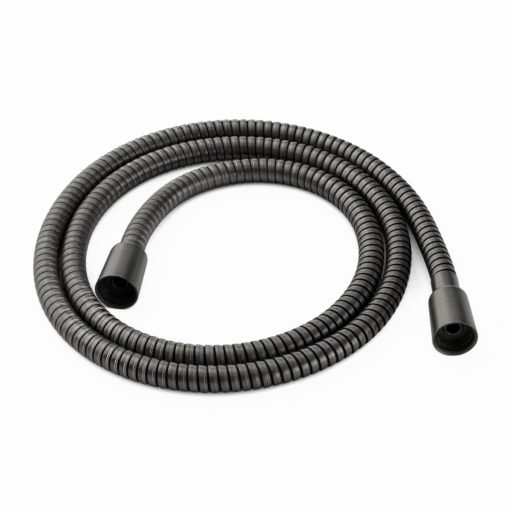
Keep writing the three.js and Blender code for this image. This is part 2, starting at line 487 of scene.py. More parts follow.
@dataclass
class Materials:
    """The object's materials by record slot."""

    effects: Effects
    by_slot: dict[Slot, bpy.types.Material] = field(init=False)

    def __post_init__(self) -> None:
        """Builds each finish's material."""
        strip = MetalFinish(
            "satin_gunmetal_strip",
            deep=(0.072, 0.0705, 0.063, 1),
            bright=(0.108, 0.106, 0.096, 1),
            wear_glint_colour=(0.34, 0.332, 0.312, 1),
            hazed_roughness=0.42,
            streak_rate=140.0,
            line_rate=2600.0,
            along_strip=True,
        )
        plating = MetalFinish(
            "satin_gunmetal_nut",
            deep=(0.08, 0.079, 0.071, 1),
            bright=(0.1, 0.099, 0.09, 1),
            wear_glint_colour=(0.14, 0.137, 0.127, 1),
            line_depth=0.000004,
        )
        nickel = MetalFinish(
            "turned_nickel",
            deep=(0.04, 0.0393, 0.036, 1),
            bright=(0.06, 0.0587, 0.054, 1),
            wear_glint_colour=(0.09, 0.088, 0.081, 1),
            line_rate=2500.0,
        )
        nylon = MouldedFinish(
            "slip_ring_nylon",
            colour=(0.62, 0.6, 0.54, 1),
            bloom=(0.7, 0.69, 0.64, 1),
            roughness=0.35,
            bloom_roughness=0.5,
            specular=0.5,
        )
        finishes = {
            Slot.CASING: strip,
            Slot.NUT: plating,
            Slot.FERRULE: replace(plating, name="satin_gunmetal_ferrule"),
            Slot.CORE: nickel,
            Slot.WASHER: MouldedFinish("washer_rubber", (0.012, 0.012, 0.012, 1), (0.022, 0.022, 0.021, 1)),
            Slot.LINER: MouldedFinish("liner_rubber", (0.014, 0.014, 0.014, 1), (0.03, 0.03, 0.029, 1)),
            Slot.SLIP_RING: nylon,
        }
        self.by_slot = {slot: finish.material(self.effects) for slot, finish in finishes.items()}

    def dress(self, piece: bpy.types.Object, body: Body, node: str, slot: Slot) -> bpy.types.Object:
        """Puts a piece on its body in place of its plain solid, and gives it its finish.

        Args:
            piece: the piece.
            body: the body that it moves with.
            node: the solid that it stands for.
            slot: the record's slot.

        Returns:
            The piece.
        """
        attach(piece, body.value)
        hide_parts(node)
        piece.data.materials.append(self.by_slot[slot])
        return piece


# Round meshes


@dataclass(frozen=True)
class Station:
    """One corner of a round piece's outline: its radius, its place along the axis, and its marks for
    painted shade and for painted wear and glints.
    """

    radius: float
    along: float
    recess_shade: float = 0.0
    wear_glint: float = 0.0


@dataclass(frozen=True)
class StripShape:
    """Cross-section of a strip or thread that winds round an axis.

    Its stations run along the axis over one pitch. Those before free_from keep their distances where the
    axis bends, and the rest give way.
    """

    pitch: float
    stations: tuple[Station, ...]
    free_from: int | None = None
    gap: float = 0.0
    least_gap: float = 0.08


@dataclass
class RoundMesh:
    """A mesh round an axis, whose corners are given by angle, place along the axis and radius."""

    around: int
    corners: list[np.ndarray] = field(default_factory=list)
    quads: list[np.ndarray] = field(default_factory=list)
    lays: list[np.ndarray] = field(default_factory=list)
    count: int = 0

    @property
    def angles(self) -> np.ndarray:
        """Angle of each corner of a ring."""
        return np.arange(self.around) * FULL_TURN / self.around

    def add_corners(
        self, angle: np.ndarray, along: np.ndarray | float, radius: np.ndarray | float, marks: tuple
    ) -> np.ndarray:
        """Adds corners and returns their numbers.

        Args:
            angle: their angles.
            along: their places along the axis.
            radius: their radii.
            marks: how much shade is painted on each, and how much it is painted lighter for wear and
                glints.

        Returns:
            Their numbers, in the shape of the given arrays.
        """
        columns = np.broadcast_arrays(angle, along, radius, *marks)
        added = np.stack([np.asarray(column, float).ravel() for column in columns], axis=1)
        self.corners.append(added)
        numbers = np.arange(self.count, self.count + len(added)).reshape(columns[0].shape)
        self.count += len(added)
        return numbers

    def add_lay(self, sides: list[tuple[object, object]]) -> None:
        """Adds the lay of some faces, from the two distances at each of their four corners in turn."""
        self.lays.append(np.stack([np.stack(np.broadcast_arrays(u, v), axis=-1) for u, v in sides], axis=1))

    def ring(self, station: Station) -> np.ndarray:
        """Adds one ring of corners and returns their numbers."""
        return self.add_corners(self.angles, station.along, station.radius, (station.recess_shade, station.wear_glint))

    def skin(self, first: np.ndarray, second: np.ndarray, radius: float, low: float, high: float) -> None:
        """Joins two rings.

        Args:
            first: numbers of the first ring's corners.
            second: numbers of the second ring's corners.
            radius: the radius that sets the lay's width.
            low: the lay's distance at the first ring.
            high: the lay's distance at the second ring.
        """
        after = np.roll(np.arange(self.around), -1)
        self.quads.append(np.stack([first, first[after], second[after], second], axis=1))
        step = FULL_TURN / self.around * radius * MM
        left = np.arange(self.around) * step
        low, high = low * MM, high * MM
        self.add_lay([(left, low), (left + step, low), (left + step, high), (left, high)])

    def loft(self, stations: list[Station]) -> tuple[np.ndarray, np.ndarray]:
        """Adds a ring at each station and the skin between them.

        Args:
            stations: the outline's corners in order.

        Returns:
            The numbers of the first and the last ring.
        """
        rings = [self.ring(station) for station in stations]
        distance = 0.0
        for (one, near), (two, far) in pairwise(zip(stations, rings, strict=True)):
            step = math.hypot(two.radius - one.radius, two.along - one.along)
            self.skin(near, far, max(one.radius, two.radius), distance, distance + step)
            distance += step
        return rings[0], rings[-1]

    def turn_outline(self, stations: list[Station]) -> None:
        """Makes a closed body of revolution from a closed outline.

        Args:
            stations: the outline's corners in order, with the first not repeated at the end.
        """
        first, last = self.loft(stations)
        start, end = ((station.radius, station.along) for station in (stations[0], stations[-1]))
        self.skin(last, first, stations[0].radius, 0, math.dist(end, start))

    def wind(
        self,
        shape: StripShape,
        near: np.ndarray,
        far: np.ndarray,
        span: tuple[float, float],
        stretch: Callable[[np.ndarray, np.ndarray], np.ndarray] | None = None,
        depth: Callable[[np.ndarray, np.ndarray], np.ndarray] | None = None,
    ) -> None:
        """Joins two rings by a strip that winds round the axis between them.

        Args:
            shape: the strip's cross-section.
            near: numbers of the ring at the near end.
            far: numbers of the ring at the far end.
            span: places of the near and the far ring along the axis.
            stretch: how much the surface is longer than the axis, from places and angles.
            depth: the radius that a place and a radius give, where it isn't the station's own.
        """
        start, end = span
        per_turn = len(shape.stations)
        turns = math.ceil((end - start) / shape.pitch) + 2
        angle = self.angles[:, None]
        step = np.arange(turns * per_turn)[None, :]
        turn, station = step // per_turn, step % per_turn
        base = start - shape.pitch + shape.pitch * (turn + angle / FULL_TURN)
        ratio = np.ones_like(base) if stretch is None else stretch(base + shape.pitch / 2, angle)
        along = base + self.offsets(shape, ratio, station)
        radius, recess_shade, wear_glint = (
            np.array([getattr(s, name) for s in shape.stations])[station] + np.zeros_like(base)
            for name in ("radius", "recess_shade", "wear_glint")
        )
        if depth is not None:
            radius = depth(along, radius)
        lowest = (along <= start).sum(axis=1) - 1
        highest = (along < end).sum(axis=1)
        rows = np.arange(self.around)
        for edge, place, inner in ((lowest, start, 1), (highest, end, -1)):
            share = (place - along[rows, edge]) / (along[rows, edge + inner] - along[rows, edge])
            radius[rows, edge] += share * (radius[rows, edge + inner] - radius[rows, edge])
            along[rows, edge] = place
        numbers = self.add_corners(angle, along, radius, (recess_shade, wear_glint))
        numbers = np.where(step < lowest[:, None], near[:, None], numbers)
        numbers = np.where(step > highest[:, None], far[:, None], numbers)
        numbers = np.hstack([numbers, np.repeat(far[:, None], per_turn + 1, axis=1)])
        here = np.arange(turns * per_turn)
        for row in rows:
            next_row, shift = (row + 1, 0) if row + 1 < self.around else (0, per_turn)
            one, two = numbers[row], numbers[next_row]
            corners = [one[here], two[here + shift], two[here + shift + 1], one[here + 1]]
            self.quads.append(np.stack(corners, axis=1))
        self.lay_strip(shape, turns)

    def offsets(self, shape: StripShape, ratio: np.ndarray, station: np.ndarray) -> np.ndarray:
        """Distances of a strip's stations from its near edge, measured on the bending axis.

        Args:
            shape: the strip's cross-section.
            ratio: how much the surface is longer than the axis at each corner.
            station: each corner's station.

        Returns:
            The distances along the axis.
        """
        own = np.array([s.along for s in shape.stations])[station] + np.zeros_like(ratio)
        if shape.free_from is None:
            return own
        spare = (ratio - 1) * shape.pitch
        gap = np.maximum(shape.gap + spare, shape.least_gap)
        from_end = (shape.pitch - own) / shape.gap * gap
        moved = np.where(station >= shape.free_from, shape.pitch * ratio - from_end, own)
        return moved / ratio

    def lay_strip(self, shape: StripShape, turns: int) -> None:
        """Writes the lay of a wound strip's faces: along the strip, and across it.

        Args:
            shape: the strip's cross-section.
            turns: how many turns its faces have.
        """
        places = np.array([s.along for s in shape.stations] + [shape.pitch]) * MM
        step = np.arange(turns * len(shape.stations))
        turn, station = step // len(shape.stations), step % len(shape.stations)
        low, high = places[station], places[station + 1]
        reach = max(s.radius for s in shape.stations) * FULL_TURN * MM
        for row in range(self.around):
            left = (turn + row / self.around) * reach
            right = left + reach / self.around
            self.add_lay([(left, low), (right, low), (right, high), (left, high)])

    def build(
        self, name: str, place: Callable[[np.ndarray], np.ndarray], clean: bool = False
    ) -> bpy.types.Object:
        """Makes the Blender object.

        Args:
            name: the piece's name.
            place: turns corners (angle, along, radius) in millimetres into points in metres.
            clean: whether corners that meet are merged.

        Returns:
            The object.
        """
        corners, quads, lays = np.vstack(self.corners), np.vstack(self.quads), np.vstack(self.lays)
        kept = quads != np.roll(quads, 1, axis=1)
        sizes = kept.sum(axis=1)
        whole = sizes >= 3
        kept, sizes = kept[whole], sizes[whole]
        loops, lays = quads[whole][kept], lays[whole][kept]
        used, loops = np.unique(loops, return_inverse=True)
        corners = corners[used]
        mesh = bpy.data.meshes.new(name)
        mesh.vertices.add(len(corners))
        mesh.vertices.foreach_set("co", place(corners[:, :3]).astype(np.float32).ravel())
        mesh.loops.add(len(loops))
        mesh.loops.foreach_set("vertex_index", loops.astype(np.int32).ravel())
        mesh.polygons.add(len(sizes))
        starts = np.concatenate([[0], np.cumsum(sizes)[:-1]])
        mesh.polygons.foreach_set("loop_start", starts.astype(np.int32))
        mesh.update(calc_edges=True)
        mesh.uv_layers.new(name="lay").data.foreach_set("uv", lays.astype(np.float32).ravel())
        for mark, values in zip(("recess_shade", "wear_glint"), corners[:, 3:].T, strict=True):
            mesh.attributes.new(mark, "FLOAT", "POINT").data.foreach_set("value", values.astype(np.float32))
        mesh.validate()
        self.finish_mesh(mesh, clean)
        return add_object(name, mesh)

    def finish_mesh(self, mesh: bpy.types.Mesh, clean: bool) -> None:
        """Turns the faces outwards and smooths all but the sharp edges.

        Args:
            mesh: the mesh.
            clean: whether corners that meet are merged.
        """
        working = bmesh.new()
        working.from_mesh(mesh)
        if clean:
            bmesh.ops.remove_doubles(working, verts=working.verts, dist=MERGE_DISTANCE)
            bmesh.ops.dissolve_degenerate(working, edges=working.edges, dist=MERGE_DISTANCE)
        bmesh.ops.recalc_face_normals(working, faces=working.faces)
        working.to_mesh(mesh)
        working.free()
        mesh.shade_smooth()
        mesh.set_sharp_from_angle(angle=SHARP_ANGLE)


def corner_round(
    centre: tuple[float, float],
    size: tuple[float, float],
    turn: tuple[float, float],
    steps: int,
    wear_glint: float = 0.0,
) -> list[Station]:
    """Stations of a rounded corner.

    Args:
        centre: radius and place of the rounding's centre.
        size: its half width and half length.
        turn: its first and last angle, in degrees from the radius direction.
        steps: how many parts it has.
        wear_glint: how much the corner is painted lighter, partly as wear and partly as a painted glint.

    Returns:
        The stations in order.
    """
    angles = np.radians(np.linspace(*turn, steps + 1))
    return [
        Station(centre[0] + size[0] * math.cos(angle), centre[1] + size[1] * math.sin(angle), wear_glint=wear_glint)
        for angle in angles
    ]


# Places of the pieces


@dataclass(frozen=True)
class EndPlace:
    """Where one end of the hose is, and what belongs to it.

    ferrule_showing is the length of ferrule behind the nut, and lead_out the length of hose behind the
    ferrule that still points at the nut.
    """

    prefix: str
    joint: str
    nut_body: Body
    ferrule_showing: float
    lead_out: float

    @property
    def joint_facts(self) -> dict:
        """The swivel joint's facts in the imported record."""
        return next(joint for joint in frame["joints"] if joint["name"] == self.joint)

    @property
    def mouth(self) -> Vector:
        """Middle of the nut's mouth."""
        return Vector(self.joint_facts["pos_m"])

    @property
    def back(self) -> Vector:
        """Direction from the mouth back to the hose."""
        return -Vector(self.joint_facts["axis"]).normalized()

    @property
    def ferrule_back(self) -> float:
        """Place of the ferrule's back end, behind the mouth."""
        return NUT_LENGTH + self.ferrule_showing

    @property
    def matrix(self) -> Matrix:
        """Frame of the end's pieces.

        Returns:
            The matrix, with its origin at the mouth, Z back to the hose and Y up.
        """
        up = Vector((0, 0, 1))
        rotation = Matrix((up.cross(self.back), up, self.back)).transposed().to_4x4()
        return Matrix.Translation(self.mouth) @ rotation


def about_axis(corners: np.ndarray) -> np.ndarray:
    """Points in metres of corners about a straight axis along Z."""
    angle, along, radius = corners.T
    return np.stack([radius * np.cos(angle), radius * np.sin(angle), along], axis=1) * MM


@dataclass
class HoseRoute:
    """Middle line of the hose: a uniform cubic spline from mouth to mouth, kept as close samples."""

    outer: EndPlace
    inner: EndPlace
    samples_per_span: int = 60
    points: np.ndarray = field(init=False, repr=False)
    directions: np.ndarray = field(init=False, repr=False)
    distances: np.ndarray = field(init=False, repr=False)
    bends: np.ndarray = field(init=False, repr=False)

    def __post_init__(self) -> None:
        """Samples the spline and measures it."""
        shift = self.outer.mouth - Vector((*OUTER_MOUTH, self.outer.mouth.z))
        lie = Vector((0, 0, HOSE_DIAMETER / 2))
        middle = [Vector(point) + shift + lie for point in ROUTE]
        controls = [*self.end_controls(self.outer), *middle, *reversed(self.end_controls(self.inner))]
        self.sample(np.array(controls))

    def end_controls(self, end: EndPlace) -> list[Vector]:
        """Control points in line with an end's nut, from its mouth to behind the ferrule."""
        depths = (0, end.ferrule_back / 2, end.ferrule_back, end.ferrule_back + end.lead_out)
        return [end.mouth + end.back * depth * MM for depth in depths]

    def sample(self, controls: np.ndarray) -> None:
        """Samples the spline's points, directions, distances and bends.

        Args:
            controls: its control points.
        """
        first, last = 2 * controls[0] - controls[1], 2 * controls[-1] - controls[-2]
        controls = np.vstack([first, controls, last])
        u = np.linspace(0, 1, self.samples_per_span, endpoint=False)[:, None]
        # Six times the share of each of a span's four control points
        weights = [(1 - u) ** 3, 3 * u**3 - 6 * u**2 + 4, -3 * u**3 + 3 * u**2 + 3 * u + 1, u**3]
        spans = [
            sum(weight * point for weight, point in zip(weights, controls[span:span + 4], strict=True)) / 6
            for span in range(len(controls) - 3)
        ]
        self.points = np.vstack([*spans, controls[-2][None]]) / MM
        steps = np.linalg.norm(np.diff(self.points, axis=0), axis=1)
        self.distances = np.concatenate([[0], np.cumsum(steps)])
        directions = np.gradient(self.points, self.distances, axis=0)
        self.directions = directions / np.linalg.norm(directions, axis=1)[:, None]
        heading = np.unwrap(np.arctan2(self.directions[:, 1], self.directions[:, 0]))
        self.bends = np.gradient(heading, self.distances)

    @property
    def length(self) -> float:
        """Length from mouth to mouth."""
        return float(self.distances[-1])

    def read(self, table: np.ndarray, along: np.ndarray) -> np.ndarray:
        """Values of a sampled table at places along the line."""
        return np.stack([np.interp(along, self.distances, column) for column in table.T], axis=-1)

    def place(self, corners: np.ndarray) -> np.ndarray:
        """Points of corners about the middle line.

        Args:
            corners: their angles, places along the line and radii.

        Returns:
            The points in metres.
        """
        angle, along, radius = corners.T
        forward = self.read(self.directions, along)
        forward /= np.linalg.norm(forward, axis=1)[:, None]
        left = np.cross([0, 0, 1], forward)
        left /= np.linalg.norm(left, axis=1)[:, None]
        up = np.cross(forward, left)
        middle = self.read(self.points, along)
        out = left * np.cos(angle)[:, None] + up * np.sin(angle)[:, None]
        return (middle + out * radius[:, None]) * MM

    def stretch(self, along: np.ndarray, angle: np.ndarray, radius: float) -> np.ndarray:
        """How much the hose's surface is longer than its middle line, at places and angles."""
        return 1 - np.interp(along, self.distances, self.bends) * radius * np.cos(angle)


# Pieces


@dataclass
class WoundCasing:
    """The metal casing: one profiled strip wound in a helix, each turn hooked over the next."""

    route: HoseRoute
    start: float
    end: float
    pitch: float = 4.95
    crown_radius: float = 7.0
    bore_radius: float = 5.7
    gap_radius: float = 6.15
    crown_fall: float = 0.07
    ledge_step: float = 0.17
    ledge_wear_glint: float = 0.86
    edge_recess_shade: float = 0.85
    around: int = 26
    bore_step: float = 7.0
    gap: float = 0.68

    def strip(self) -> StripShape:
        """Cross-section of the strip, as radius and place along one pitch.

        Returns:
            The shape: a flat crown, two small ledges behind it and the gap to the next turn.
        """
        crown = self.crown_radius
        first_ledge = crown - self.crown_fall - self.ledge_step
        second_ledge = first_ledge - self.ledge_step
        gap_start = self.pitch - self.gap
        stations = (
            # The gap and its edges are marked for painted shade.
            Station(self.gap_radius, 0.0, recess_shade=1.0),
            Station(crown - 0.1, 0.09, recess_shade=self.edge_recess_shade),
            Station(crown - 0.015, 0.34),
            Station(crown, 1.4),
            Station(crown - 0.025, 2.42),
            # The ledges are painted much lighter, as painted glints and partly as wear.
            Station(crown - self.crown_fall, 2.7, wear_glint=1.0),
            Station(first_ledge, 2.82, wear_glint=1.0),
            Station(first_ledge - 0.01, 3.05),
            Station(first_ledge - 0.01, 3.5, wear_glint=self.ledge_wear_glint),
            Station(second_ledge, 3.62, wear_glint=self.ledge_wear_glint),
            Station(second_ledge - 0.02, gap_start - 0.05, recess_shade=self.edge_recess_shade),
            Station(self.gap_radius, gap_start, recess_shade=1.0),
        )
        return StripShape(self.pitch, stations, free_from=len(stations) - 1, gap=self.gap)

    def build(self, materials: Materials) -> bpy.types.Object:
        """Makes the casing in place of its plain tube.

        Args:
            materials: the object's materials.

        Returns:
            The piece.
        """
        mesh = RoundMesh(self.around)
        rings = math.ceil((self.end - self.start) / self.bore_step)
        places = np.linspace(self.start, self.end, rings + 1)
        near, far = mesh.loft([Station(self.bore_radius, place, recess_shade=1.0) for place in places])
        mesh.wind(
            self.strip(),
            near,
            far,
            (self.start, self.end),
            stretch=lambda along, angle: self.route.stretch(along, angle, self.crown_radius),
        )
        piece = mesh.build("wound_casing", self.route.place)
        return materials.dress(piece, Body.HOSE, "outer_casing", Slot.CASING)


@dataclass
class Liner:
    """The rubber tube inside the casing, which runs on into both ferrules."""

    route: HoseRoute
    start: float
    end: float
    radius: float = 5.4
    bore_radius: float = 4.2
    around: int = 20
    step: float = 6.0

    def build(self, materials: Materials) -> bpy.types.Object:
        """Makes the liner in place of its plain tube.

        Args:
            materials: the object's materials.

        Returns:
            The piece.
        """
        mesh = RoundMesh(self.around)
        places = np.linspace(self.start, self.end, math.ceil((self.end - self.start) / self.step) + 1)
        inside = [Station(self.bore_radius, place) for place in places]
        outside = [Station(self.radius, place) for place in reversed(places)]
        mesh.turn_outline([*inside, *outside])
        piece = mesh.build("rubber_liner", self.route.place)
        return materials.dress(piece, Body.HOSE, "inner_liner", Slot.LINER)


@dataclass
class SwivelNut:
    """A conical swivel nut with a threaded socket, a seat and a rounded shoulder."""

    place: EndPlace
    length: float = NUT_LENGTH
    mouth_radius: float = 11.7
    shoulder_radius: float = 10.3
    shoulder_length: float = 3.4
    shoulder_steps: int = 12
    land_radius: float = 8.0
    bore_radius: float = 7.8
    bore_edge: float = 0.2
    back_edge: tuple[float, float] = (0.12, 0.15)
    seat: float = 14.2
    seat_edge: float = 0.3
    thread_radius: float = 9.3
    thread_root_radius: float = 10.35
    thread_pitch: float = 1.814
    thread_corners: tuple[float, ...] = (0.16, 0.46, 0.62, 0.92)
    thread_crest_edge: float = 0.1
    thread_start: float = 1.5
    thread_end: float = 12.4
    thread_fade: float = 1.6
    countersink_radius: float = 11.0
    countersink_depth: float = 1.4
    countersink_edge: tuple[float, float] = (0.1, 0.06)
    thread_lead_edge: float = 0.05
    rim_rounding: float = 0.3
    rim_steps: int = 5
    cone_shares: tuple[float, ...] = (0.25, 0.5, 0.75, 0.95)
    around: int = 96

    def thread(self) -> StripShape:
        """Cross-section of the socket's thread.

        Returns:
            The shape: a groove with sloping sides.
        """
        corners = [share * self.thread_pitch for share in self.thread_corners]
        stations = (
            Station(self.thread_radius, 0.0, recess_shade=0.4),
            Station(self.thread_radius, corners[0], recess_shade=0.4),
            Station(self.thread_root_radius, corners[1], recess_shade=1.0),
            Station(self.thread_root_radius, corners[2], recess_shade=1.0),
            Station(self.thread_radius + self.thread_crest_edge, corners[3], recess_shade=0.5),
        )
        return StripShape(self.thread_pitch, stations)

    def thread_depth(self, along: np.ndarray, radius: np.ndarray) -> np.ndarray:
        """Radius of the thread's corners, which run out to the bore at both ends of the thread.

        Args:
            along: the corners' places.
            radius: their radii on the full thread.

        Returns:
            Their radii.
        """
        from_end = np.minimum(along - self.thread_start, self.thread_end - along)
        share = np.clip(from_end / self.thread_fade, 0, 1)
        return self.thread_radius + (radius - self.thread_radius) * share

    def outline(self) -> list[Station]:
        """Corners of the nut's outline, apart from its thread.

        Returns:
            The stations from the thread's inner end round the back and the outside to its outer end.
        """
        taper = (self.mouth_radius - self.shoulder_radius) / self.length
        cone_end = self.length - self.shoulder_length
        cone_end_radius = self.mouth_radius - taper * cone_end
        rounding = (cone_end_radius - self.land_radius, self.shoulder_length)
        shoulder = corner_round((self.land_radius, cone_end), rounding, (90, 0), self.shoulder_steps)
        rim = self.rim_rounding
        cone = [
            Station(cone_end_radius + taper * cone_end * share, cone_end * (1 - share) + rim * share)
            for share in self.cone_shares
        ]
        mouth = corner_round((self.mouth_radius - rim, rim), (rim, rim), (0, -90), self.rim_steps)
        # The socket, seat and bore are marked for painted shade.
        return [
            Station(self.thread_radius, self.thread_end, recess_shade=0.6),
            Station(self.thread_radius, self.seat - self.seat_edge, recess_shade=0.8),
            Station(self.thread_radius - self.seat_edge, self.seat, recess_shade=0.8),
            Station(self.bore_radius + self.bore_edge, self.seat, recess_shade=0.8),
            Station(self.bore_radius, self.seat + self.bore_edge, recess_shade=0.8),
            Station(self.bore_radius, self.length - self.back_edge[1], recess_shade=0.9),
            Station(self.bore_radius + self.back_edge[0], self.length, recess_shade=0.3, wear_glint=0.3),
            *shoulder,
            *cone,
            *mouth,
            Station(self.countersink_radius + self.countersink_edge[0], 0.0),
            Station(self.countersink_radius, self.countersink_edge[1], recess_shade=0.3),
            Station(self.thread_radius + self.thread_lead_edge, self.countersink_depth, recess_shade=0.7),
            Station(self.thread_radius, self.thread_start, recess_shade=0.7),
        ]

    def build(self, materials: Materials) -> bpy.types.Object:
        """Makes the nut in place of its plain solid.

        Args:
            materials: the object's materials.

        Returns:
            The piece.
        """
        mesh = RoundMesh(self.around)
        inner, outer = mesh.loft(self.outline())
        span = (self.thread_start, self.thread_end)
        mesh.wind(self.thread(), outer, inner, span, depth=self.thread_depth)
        piece = mesh.build(f"{self.place.prefix}_threaded_nut", about_axis, clean=True)
        piece.matrix_world = self.place.matrix
        return materials.dress(piece, self.place.nut_body, f"{self.place.prefix}_nut", Slot.NUT)


@dataclass
class EndFittings:
    """The pieces of one end that stay with the hose: core, washer, slip ring, sleeve and ferrule."""

    place: EndPlace
    materials: Materials
    edge: float = 0.3
    nose_depth: float = 7.8
    nose_radius: float = 5.0
    nose_bore: float = 3.5
    nose_root: float = 0.2
    nose_bore_depth: float = 1.6
    lip_length: float = 0.6
    lip_steps: int = 10
    flange_front: float = 10.8
    flange_back: float = 12.8
    flange_radius: float = 9.0
    neck_radius: float = 6.2
    neck_back: float = 15.3
    tail_bore: float = 2.9
    barb_radius: float = 3.9
    barb_height: float = 0.35
    barb_count: int = 4
    barb_pitch: float = 4.0
    barb_foot: float = 0.1
    barb_crest: float = 0.25
    barb_corner: float = 0.05
    washer_bore: float = 5.3
    washer_front: float = 8.5
    washer_back: float = 10.5
    washer_edge: float = 0.25
    washer_edge_steps: int = 3
    washer_dish: float = 0.12
    ring_bore: float = 7.6
    ring_front: float = 13.1
    ring_back: float = 13.9
    ring_edge: float = 0.12
    sleeve_bore: float = 5.8
    sleeve_radius: float = 6.2
    sleeve_front: float = 16.6
    sleeve_back: float = 31.1
    sleeve_steps: int = 36
    sleeve_around: int = 48
    crimp_depth: float = 0.15
    crimp_sharpness: int = 4
    ferrule_front: float = 13.1
    ferrule_edge: float = 0.15
    ferrule_radius: float = 7.3
    ferrule_bore: float = 6.5
    ferrule_lip: float = 5.8
    ferrule_lip_length: float = 1.2
    ferrule_lip_edge: float = 0.1
    ferrule_rounding: float = 0.4
    ferrule_steps: int = 6
    nut_shade: tuple[float, float] = (0.6, 0.5)
    around: int = 96

    def turn(
        self, stations: list[Station], name: str, node: str, slot: Slot, around: int | None = None
    ) -> bpy.types.Object:
        """Turns a piece from its closed outline, stands it at this end and dresses it.

        Args:
            stations: the outline's corners.
            name: what the piece is called, after the end's name.
            node: the solid that it replaces, after the end's name.
            slot: its material slot.
            around: how many corners a ring has, where it isn't the fittings' usual number.

        Returns:
            The piece.
        """
        mesh = RoundMesh(around or self.around)
        mesh.turn_outline(stations)
        piece = mesh.build(f"{self.place.prefix}_{name}", about_axis)
        piece.matrix_world = self.place.matrix
        return self.materials.dress(piece, Body.HOSE, f"{self.place.prefix}_{node}", slot)

    def core(self) -> bpy.types.Object:
        """Makes the core: a nose with a rounded lip, a flange, a neck and a barbed tail.

        Returns:
            The piece.
        """
        edge, front, back = self.edge, self.flange_front, self.flange_back
        half = (self.nose_radius - self.nose_bore) / 2
        centre = (self.nose_bore + half, self.nose_depth + self.lip_length)
        lip = corner_round(centre, (half, self.lip_length), (0, -180), self.lip_steps, wear_glint=0.3)
        tail_back = self.neck_back + self.barb_count * self.barb_pitch
        barbs = []
        for count in range(self.barb_count):
            foot = tail_back - count * self.barb_pitch
            crest = foot - self.barb_pitch
            barbs.append(Station(self.barb_radius - self.barb_height, foot - self.barb_foot))
            barbs.append(Station(self.barb_radius, crest + self.barb_crest))
            barbs.append(Station(self.barb_radius - self.barb_corner, crest + self.barb_corner))
        stations = [
            *lip[::-1],
            Station(self.nose_radius, front - self.nose_root, recess_shade=0.4),
            Station(self.nose_radius + self.nose_root, front, recess_shade=0.6),
            Station(self.flange_radius - edge, front, recess_shade=0.4),
            Station(self.flange_radius, front + edge),
            Station(self.flange_radius, back - edge),
            Station(self.flange_radius - edge, back),
            Station(self.neck_radius + edge, back, recess_shade=0.5),
            Station(self.neck_radius, back + edge, recess_shade=0.5),
            Station(self.neck_radius, self.neck_back - edge),
            Station(self.neck_radius - edge, self.neck_back),
            *barbs[::-1],
            Station(self.barb_radius - self.barb_height, tail_back),
            Station(self.tail_bore, tail_back),
            Station(self.tail_bore, self.neck_back, recess_shade=0.9),
            Station(self.nose_bore, back, recess_shade=0.9),
            Station(self.nose_bore, self.nose_depth + self.nose_bore_depth, recess_shade=0.7),
        ]
        return self.turn(stations, "nosed_core", "core", Slot.CORE)

    def washer(self) -> bpy.types.Object:
        """Makes the rubber washer, with rounded edges and a shallow sealing dish.

        Returns:
            The piece.
        """
        bore, outer, edge = self.washer_bore, self.flange_radius, self.washer_edge
        front, size, steps = self.washer_front + edge, (edge, edge), self.washer_edge_steps
        stations = [
            Station(bore, self.washer_back),
            *corner_round((bore + edge, front), size, (180, 270), steps),
            Station((bore + outer) / 2, self.washer_front + self.washer_dish),
            *corner_round((outer - edge, front), size, (270, 360), steps),
            Station(outer, self.washer_back - edge),
            Station(outer - edge, self.washer_back),
        ]
        return self.turn(stations, "moulded_washer", "washer", Slot.WASHER)

    def slip_ring(self) -> bpy.types.Object:
        """Makes the nylon slip ring behind the flange, with broken edges.

        Returns:
            The piece.
        """
        bore, outer, edge = self.ring_bore, self.flange_radius, self.ring_edge
        front, back = self.ring_front, self.ring_back
        stations = [
            Station(bore, front + edge),
            Station(bore + edge, front),
            Station(outer - edge, front),
            Station(outer, front + edge),
            Station(outer, back - edge),
            Station(outer - edge, back),
            Station(bore + edge, back),
            Station(bore, back - edge),
        ]
        return self.turn(stations, "nylon_ring", "slip_ring", Slot.SLIP_RING)

    def sleeve(self) -> bpy.types.Object:
        """Makes the crimped sleeve on the liner, pressed in at each barb.

        Returns:
            The piece.
        """
        outside, inside = [], []
        for step in range(self.sleeve_steps + 1):
            along = self.sleeve_front + (self.sleeve_back - self.sleeve_front) * step / self.sleeve_steps
            wave = math.cos((along - self.neck_back) / self.barb_pitch * FULL_TURN)
            press = self.crimp_depth * max(0.0, wave) ** self.crimp_sharpness
            # Each crimp is marked for painted shade as deep as it is pressed in, and the bore for half.
            outside.append(Station(self.sleeve_radius - press, along, recess_shade=press))
            inside.append(Station(self.sleeve_bore, along, recess_shade=0.5))
        stations = [*outside, *reversed(inside)]
        return self.turn(stations, "crimped_sleeve", "sleeve", Slot.CORE, self.sleeve_around)

    def ferrule(self) -> bpy.types.Object:
        """Makes the plain collar between the nut and the casing, with a lip turned in at its back.

        Returns:
            The piece.
        """
        back, rounding, lip_edge = self.place.ferrule_back, self.ferrule_rounding, self.ferrule_lip_edge
        centre = (self.ferrule_radius - rounding, back - rounding)
        stations = [
            Station(self.ferrule_bore, self.ferrule_front),
            Station(self.ferrule_radius - self.ferrule_edge, self.ferrule_front),
            Station(self.ferrule_radius, self.ferrule_front + self.ferrule_edge),
            # A band of painted shade on the ferrule where it goes into the nut.
            Station(self.ferrule_radius, NUT_LENGTH - self.nut_shade[0], recess_shade=0.5),
            Station(self.ferrule_radius, NUT_LENGTH + self.nut_shade[1]),
            *corner_round(centre, (rounding, rounding), (0, 90), self.ferrule_steps, wear_glint=0.35),
            Station(self.ferrule_lip + lip_edge, back, recess_shade=0.8),
            Station(self.ferrule_lip, back - lip_edge, recess_shade=1.0),
            Station(self.ferrule_lip, back - self.ferrule_lip_length),
            Station(self.ferrule_bore, back - self.ferrule_lip_length),
        ]
        return self.turn(stations, "plain_ferrule", "ferrule", Slot.FERRULE)

    def build(self) -> list[bpy.types.Object]:
        """Makes all the end's fittings but the nut."""
        return [self.core(), self.washer(), self.slip_ring(), self.sleeve(), self.ferrule()]


# Studio


